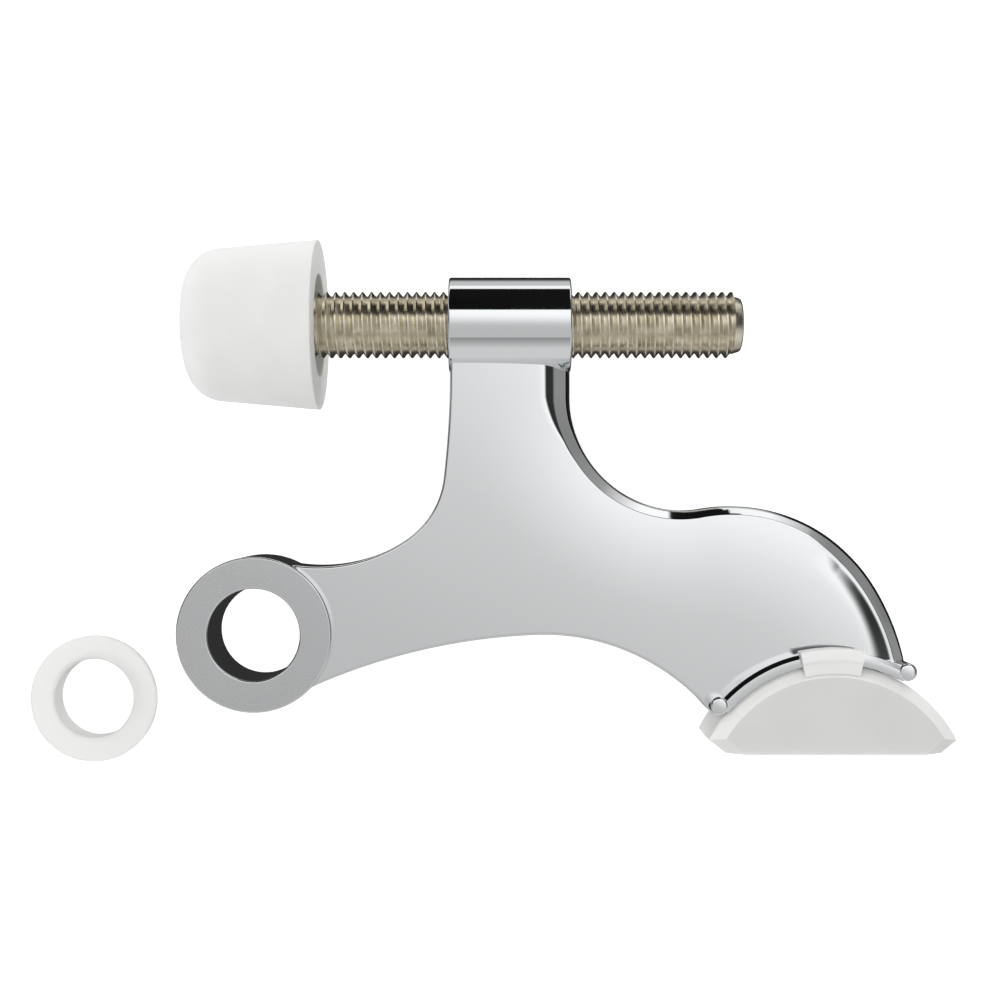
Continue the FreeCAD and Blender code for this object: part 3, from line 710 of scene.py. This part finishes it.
satin, tree = blank_material("satin_turned_face_on_zinc")
where = add_node(tree, "TexCoord")
rings = add_node(
    tree, "TexWave", {"wave_type": "RINGS", "rings_direction": "Z"}, Vector=where.outputs["Object"],
    Scale=1 / (0.9 * MM), Distortion=1.5, Detail=2.0,
)
grooves = add_node(tree, "Bump", Strength=0.12, Distance=0.02 * MM, Height=rings.outputs["Fac"])
worn = add_node(tree, "MapRange", Value=rings.outputs["Fac"], To_Min=0.24, To_Max=0.34)
metal = add_node(
    tree, "BsdfPrincipled", Base_Color=colour("#CFD0D1"), Metallic=1.0, Roughness=worn.outputs["Result"],
    Normal=grooves.outputs["Normal"],
)
add_node(tree, "OutputMaterial", Surface=metal.outputs[0])

finish_piece(casting, "body", "chrome_plated_zinc", "cast_body", chrome, satin)
for face in casting.data.polygons:
    on_eye = face.center.xy.length < SATIN_REACH * MM
    at_end = abs(face.center.z) > SATIN_LEVEL * MM
    face.material_index = int(on_eye and at_end and abs(face.normal.z) > FLAT)

# ---------------------------------------------------------------- the adjusting screw
# A nickel plated steel screw with a rolled fine thread, which turns in the boss.
# Its round head sits in a pocket inside the bumper, and its point is turned down and left flat.

HEAD_START = -1.5
HEAD_LENGTH = 2.0
HEAD_RADIUS = 6.15
THREAD_START = 1.6
THREAD_END = 55.7
SCREW_TIP = 56.78
SCREW_TIP_RADIUS = 3.12
SCREW_NECK_RADIUS = 3.42
PITCH = 1.0583
CREST = 3.9
CREST_FLAT = 0.16
ROOT = 3.36
ROOT_FLAT = 0.14
SHANK_RADIUS = 3.4
EDGE_ROUNDING = 0.25
THREAD_STEPS = 40
THREAD_MERGE = 0.003

thread = bmesh.new()
flank = (PITCH - ROOT_FLAT - CREST_FLAT) / 2
rise = ROOT_FLAT / 2
fall = rise + flank + CREST_FLAT
stations = (0, rise, rise + flank / 2, rise + flank, fall, fall + flank / 2, PITCH)
radii = (ROOT, ROOT, (ROOT + CREST) / 2, CREST, CREST, (ROOT + CREST) / 2, ROOT)
start_x = THREAD_START - 1.5 * PITCH
tooth = [thread.verts.new((start_x + along, out, 0)) for along, out in zip(stations, radii)]
ridge = [thread.edges.new(pair) for pair in zip(tooth, tooth[1:])]
turns = math.ceil((THREAD_END - start_x) / PITCH) + 1
bmesh.ops.spin(
    thread, geom=[*tooth, *ridge], cent=(0, 0, 0), axis=(1, 0, 0), dvec=(PITCH / THREAD_STEPS, 0, 0),
    angle=math.tau, steps=THREAD_STEPS,
)
one_turn = [*thread.verts, *thread.edges, *thread.faces]
for turn_number in range(1, turns):
    copied = bmesh.ops.duplicate(thread, geom=one_turn)["geom"]
    moved = [item for item in copied if isinstance(item, bmesh.types.BMVert)]
    bmesh.ops.translate(thread, verts=moved, vec=(PITCH * turn_number, 0, 0))
bmesh.ops.remove_doubles(thread, verts=thread.verts, dist=THREAD_MERGE)
for x, side in ((THREAD_START, -1), (THREAD_END, 1)):
    bmesh.ops.bisect_plane(
        thread, geom=[*thread.verts, *thread.edges, *thread.faces], dist=MERGE,
        plane_co=(x, 0, 0), plane_no=(side, 0, 0), clear_outer=True,
    )


def drawn_in(shape, x, profile):
    """Carries the open end of a tube on through (place, radius) rings and closes it."""
    loop = [e for e in shape.edges if e.is_boundary and all(abs(v.co.x - x) < ON_LINE for v in e.verts)]
    for place, radius in profile:
        grown = bmesh.ops.extrude_edge_only(shape, edges=loop)["geom"]
        loop = [item for item in grown if isinstance(item, bmesh.types.BMEdge)]
        for vert in (item for item in grown if isinstance(item, bmesh.types.BMVert)):
            out = vert.co.yz.normalized() * radius
            vert.co = (place, out[0], out[1])
    bmesh.ops.contextual_create(shape, geom=loop)


HEAD_END = HEAD_START + HEAD_LENGTH
drawn_in(
    thread,
    THREAD_END,
    (
        (THREAD_END + 0.02, SCREW_NECK_RADIUS),
        (SCREW_TIP - 0.25, SCREW_TIP_RADIUS + 0.06),
        (SCREW_TIP - 0.08, SCREW_TIP_RADIUS - 0.06),
        (SCREW_TIP, SCREW_TIP_RADIUS - 0.25),
    ),
)
drawn_in(
    thread,
    THREAD_START,
    (
        (THREAD_START - 0.02, SHANK_RADIUS),
        (HEAD_END, SHANK_RADIUS),
        (HEAD_END, HEAD_RADIUS - EDGE_ROUNDING),
        (HEAD_END - EDGE_ROUNDING, HEAD_RADIUS),
        (HEAD_START + EDGE_ROUNDING, HEAD_RADIUS),
        (HEAD_START, HEAD_RADIUS - EDGE_ROUNDING),
    ),
)
bmesh.ops.recalc_face_normals(thread, faces=thread.faces)
bmesh.ops.translate(thread, verts=thread.verts, vec=(0, BOSS_AXIS, 0))
screw = as_object("adjusting_screw_rod", thread)
shade(screw, 40)

nickel, tree = blank_material("nickel_plated_rolled_steel")
where = add_node(tree, "TexCoord")
stain = add_node(tree, "TexNoise", Vector=where.outputs["Object"], Scale=1 / (1.5 * MM), Detail=4.0)
tone = add_node(tree, "ValToRGB", Fac=stain.outputs["Fac"])
for element, position, code in zip(tone.color_ramp.elements, (0.3, 0.7), ("#D2CAB6", "#F4EEDF")):
    element.position = position
    element.color = colour(code)
grain = add_node(tree, "Mapping", Vector=where.outputs["Object"], Scale=(6.0, 1.0, 1.0))
streak = add_node(tree, "TexNoise", Vector=grain.outputs["Vector"], Scale=1 / (0.6 * MM), Detail=3.0)
marks = add_node(tree, "Bump", Strength=0.25, Distance=0.03 * MM, Height=streak.outputs["Fac"])
rough = add_node(tree, "MapRange", Value=streak.outputs["Fac"], To_Min=0.16, To_Max=0.32)
metal = add_node(
    tree, "BsdfPrincipled", Base_Color=tone.outputs["Color"], Metallic=1.0,
    Roughness=rough.outputs["Result"], Normal=marks.outputs["Normal"],
)
add_node(tree, "OutputMaterial", Surface=metal.outputs[0])
finish_piece(screw, "screw", "nickel_plated_steel", "adjusting_screw", nickel)

# ---------------------------------------------------------------- the bumper
# A moulded white rubber cup, tapered towards the end that meets the door, with a recess at the screw's side.
# It is solid apart from the recess and the pocket that grips the screw's head.

FACE_X = 7.1
END_X = -8.75
FACE_RADIUS = 10.015
END_RADIUS = 8.7
CORNER = 4.3
RECESS_RADIUS = 6.0
RECESS_DEPTH = 4.5
HOLE_RADIUS = 3.97
POCKET_RADIUS = 6.25
POCKET_START = -1.55
POCKET_END = 0.55
DOME_RISE = 0.5

bumper_profile = rounded(
    (
        (END_X, 0),
        (END_X + DOME_RISE, END_RADIUS),
        (FACE_X, FACE_RADIUS),
        (FACE_X, RECESS_RADIUS),
        (FACE_X - RECESS_DEPTH, RECESS_RADIUS),
        (FACE_X - RECESS_DEPTH, HOLE_RADIUS),
        (POCKET_END, HOLE_RADIUS),
        (POCKET_END, POCKET_RADIUS),
        (POCKET_START, POCKET_RADIUS),
        (POCKET_START, 0),
    ),
    (0, CORNER, 0.15, 0.2, 0.4, 0.2, 0, 0, 0, 0),
    parts=10,
)
bumper = as_object("rubber_bumper", turned(bumper_profile, (0, BOSS_AXIS), "X", steps=128))
shade(bumper, 35)

rubber, tree = blank_material("moulded_white_rubber")
where = add_node(tree, "TexCoord")
cloud = add_node(tree, "TexNoise", Vector=where.outputs["Object"], Scale=1 / (4 * MM), Detail=4.0)
tone = add_node(tree, "ValToRGB", Fac=cloud.outputs["Fac"])
for element, code in zip(tone.color_ramp.elements, ("#E4E4E3", "#EEEEED")):
    element.color = colour(code)
pores = add_node(tree, "TexNoise", Vector=where.outputs["Object"], Scale=1 / (0.25 * MM), Detail=3.0)
skin = add_node(tree, "Bump", Strength=0.15, Distance=0.03 * MM, Height=pores.outputs["Fac"])
body = add_node(
    tree, "BsdfPrincipled", Base_Color=tone.outputs["Color"], Roughness=0.62, Normal=skin.outputs["Normal"]
)
add_node(tree, "OutputMaterial", Surface=body.outputs[0])
finish_piece(bumper, "bumper", "white_rubber", "bumper", rubber)

# ---------------------------------------------------------------- the shoe
# The injection moulded nylon shoe that rests against the door or wall; it rocks in the cradle.
# It is a D-shaped block with chamfered faces, and two clips that hook over the rail, one on each side.

SHOE_RADIUS = 16.0
SHOE_HALF = 6.2
SHOE_FLOOR = -13.58
SHOE_CORNER = -12.1
SHOE_FLOOR_ENDS = (54.3, 79.2)
FACE_CHAMFER = 1.4
FLOOR_CHAMFER = 2.2
CHAMFER_TURN_SHARE = 0.9305
CLIP_HALF = 6.58
CLIP_GAP = 4.4
CLIP_INNER = 15.0
CLIP_OUTER = 17.88
CLIP_CREASE = 16.35
CLIP_BEARING = 79.0
CLIP_TURN = 24.1
CLIP_CLEARANCE = 0.1
EDGE_BEVEL = 0.12
FLOOR_MARGIN = 0.1
# Beyond this reach from the rock axis, the shoe's faces take the paler copy of the nylon, which is painted
# light.
PAINTED_LIGHT_REACH = SHOE_RADIUS - FACE_CHAMFER + 0.03

block = bmesh.new()
reach = math.sqrt(SHOE_RADIUS**2 - (SHOE_CORNER - ROCK_AXIS[1]) ** 2)
corner_turn = math.degrees(math.asin((SHOE_CORNER - ROCK_AXIS[1]) / SHOE_RADIUS))
first = block.verts.new((ROCK_AXIS[0] + reach, SHOE_CORNER, 0))
trace(
    block,
    first,
    (
        (ROCK_AXIS, 180 - 2 * corner_turn),
        ((SHOE_FLOOR_ENDS[0], SHOE_FLOOR),),
        ((SHOE_FLOOR_ENDS[1], SHOE_FLOOR),),
        (first,),
    ),
)
bmesh.ops.remove_doubles(block, verts=block.verts, dist=CLOSE)
face = bmesh.ops.edgeloop_fill(block, edges=list(block.edges))["faces"][0]
block.faces.remove(face)
loop = list(block.edges)
for height in (SHOE_HALF - FACE_CHAMFER, SHOE_HALF):
    grown = bmesh.ops.extrude_edge_only(block, edges=loop)["geom"]
    loop = [item for item in grown if isinstance(item, bmesh.types.BMEdge)]
    for vert in (item for item in grown if isinstance(item, bmesh.types.BMVert)):
        vert.co.z = height
        if height == SHOE_HALF:
            out = vert.co.xy - Vector(ROCK_AXIS)
            if vert.co.y > SHOE_FLOOR + FLOOR_MARGIN:
                turn = math.pi / 2 + (math.atan2(out.y, out.x) - math.pi / 2) * CHAMFER_TURN_SHARE
                vert.co.x = ROCK_AXIS[0] + (SHOE_RADIUS - FACE_CHAMFER) * math.cos(turn)
                vert.co.y = ROCK_AXIS[1] + (SHOE_RADIUS - FACE_CHAMFER) * math.sin(turn)
            else:
                vert.co.x -= math.copysign(FLOOR_CHAMFER, out.x)
bmesh.ops.edgeloop_fill(block, edges=loop)
bmesh.ops.mirror(
    block, geom=[*block.verts, *block.edges, *block.faces], matrix=Matrix.Identity(4), merge_dist=MERGE,
    axis="Z",
)
bmesh.ops.remove_doubles(block, verts=block.verts, dist=MERGE)
bmesh.ops.recalc_face_normals(block, faces=block.faces)
sharp = [
    e for e in block.edges
    if e.calc_face_angle(0) > math.radians(25) and abs(e.verts[0].co.z - e.verts[1].co.z) < CLOSE
]
bmesh.ops.bevel(
    block, geom=sharp, offset=EDGE_BEVEL, offset_type="OFFSET", segments=2, profile=0.5, affect="EDGES",
    material=-1,
)
shoe = as_object("nylon_shoe", block)
clips = []
for side in (1, -1):
    lip = rounded(
        (
            (side * (RAIL_HALF + CLIP_CLEARANCE), CLIP_INNER),
            (side * (SHOE_HALF + 0.03), CLIP_INNER),
            (side * (SHOE_HALF + 0.12), CLIP_CREASE),
            (side * CLIP_HALF, CLIP_CREASE + 0.25),
            (side * CLIP_HALF, CLIP_OUTER),
            (side * CLIP_GAP, CLIP_OUTER),
            (side * CLIP_GAP, RAIL_OUTER + CLIP_CLEARANCE),
            (side * (RAIL_HALF - RAIL_SLOPE), RAIL_OUTER + CLIP_CLEARANCE),
            (side * (RAIL_HALF + CLIP_CLEARANCE), RAIL_OUTER - RAIL_SLOPE),
        ),
        (0, 0.05, 0.3, 0.3, 0.35, 0.1, 0.05, 0, 0),
        parts=4,
    )
    hook = turned(lip, ROCK_AXIS, "Z", degrees=CLIP_TURN, steps=16, start=CLIP_BEARING)
    clips.append(as_object("clip", hook))
united(shoe, clips)
shade(shoe, 35)

nylon, tree = blank_material("moulded_natural_nylon")
where = add_node(tree, "TexCoord")
cloud = add_node(tree, "TexNoise", Vector=where.outputs["Object"], Scale=1 / (5 * MM), Detail=3.0)
tone = add_node(tree, "ValToRGB", Fac=cloud.outputs["Fac"])
for element, code in zip(tone.color_ramp.elements, ("#D6D6D4", "#DEDEDC")):
    element.color = colour(code)
flow = add_node(tree, "TexNoise", Vector=where.outputs["Object"], Scale=1 / (1.2 * MM), Detail=2.0)
skin = add_node(tree, "Bump", Strength=0.08, Distance=0.03 * MM, Height=flow.outputs["Fac"])
gloss = add_node(tree, "MapRange", Value=flow.outputs["Fac"], To_Min=0.30, To_Max=0.42)
body = add_node(
    tree, "BsdfPrincipled", Base_Color=tone.outputs["Color"], Roughness=gloss.outputs["Result"], IOR=1.53,
    Subsurface_Weight=0.35, Subsurface_Scale=1.5 * MM, Subsurface_Radius=(1, 1, 0.95),
    Normal=skin.outputs["Normal"],
)
add_node(tree, "OutputMaterial", Surface=body.outputs[0])


def paler_nylon(name, *codes):
    """A copy of the nylon under another name, with its two tones changed."""
    material = nylon.copy()
    material.name = name
    ramp = next(node for node in material.node_tree.nodes if node.type == "VALTORGB")
    for element, code in zip(ramp.color_ramp.elements, codes):
        element.color = colour(code)
    return material


# The chamfers and the clips get a paler copy of the nylon than the block's flat faces. This is painted light: it
# stands in for light glowing through the thin edges and for light that the sloping chamfers catch.
painted_light_nylon = paler_nylon("moulded_natural_nylon_painted_light_at_edges", "#F0F0EE", "#F8F8F6")
finish_piece(shoe, "shoe", "natural_nylon", "shoe", nylon, painted_light_nylon)
# Faces past the reach, which are the chamfers and the clips, take the paler copy as painted light.
for face in shoe.data.polygons:
    out = face.center.xy / MM - Vector(ROCK_AXIS)
    face.material_index = int(out.length > PAINTED_LIGHT_REACH)

# ---------------------------------------------------------------- the hinge-pin bushing
# A loose flanged nylon sleeve that packs the eye's bore down to a thinner hinge pin.
# It is moulded thin enough to let light through.

BUSHING_CENTRE = (-21.3, -8.75)
BUSHING_FLOOR = -9.98
BUSHING_TOP = -6.0
BUSHING_BORE = 4.8
BARREL_RADIUS = 5.25
FLANGE_RADIUS = 7.73
FLANGE_THICKNESS = 1.0

sleeve = turned(
    rounded(
        (
            (BUSHING_TOP, BUSHING_BORE),
            (BUSHING_TOP, FLANGE_RADIUS),
            (BUSHING_TOP - FLANGE_THICKNESS, FLANGE_RADIUS),
            (BUSHING_TOP - FLANGE_THICKNESS, BARREL_RADIUS),
            (BUSHING_FLOOR, BARREL_RADIUS),
            (BUSHING_FLOOR, BUSHING_BORE),
        ),
        (0.4, 0.25, 0.25, 0.15, 0.15, 0.1),
        parts=4,
    ),
    BUSHING_CENTRE, "Z", steps=112,
)
bushing = as_object("nylon_bushing", sleeve)
shade(bushing, 35)
clear_nylon = paler_nylon("thin_translucent_nylon", "#F4F4F2", "#FCFCFA")
thin = next(node for node in clear_nylon.node_tree.nodes if node.type == "BSDF_PRINCIPLED")
thin.inputs["Transmission Weight"].default_value = 0.35
thin.inputs["Subsurface Weight"].default_value = 0.2
finish_piece(bushing, "bushing", "natural_nylon", "hinge_pin_bushing", clear_nylon)
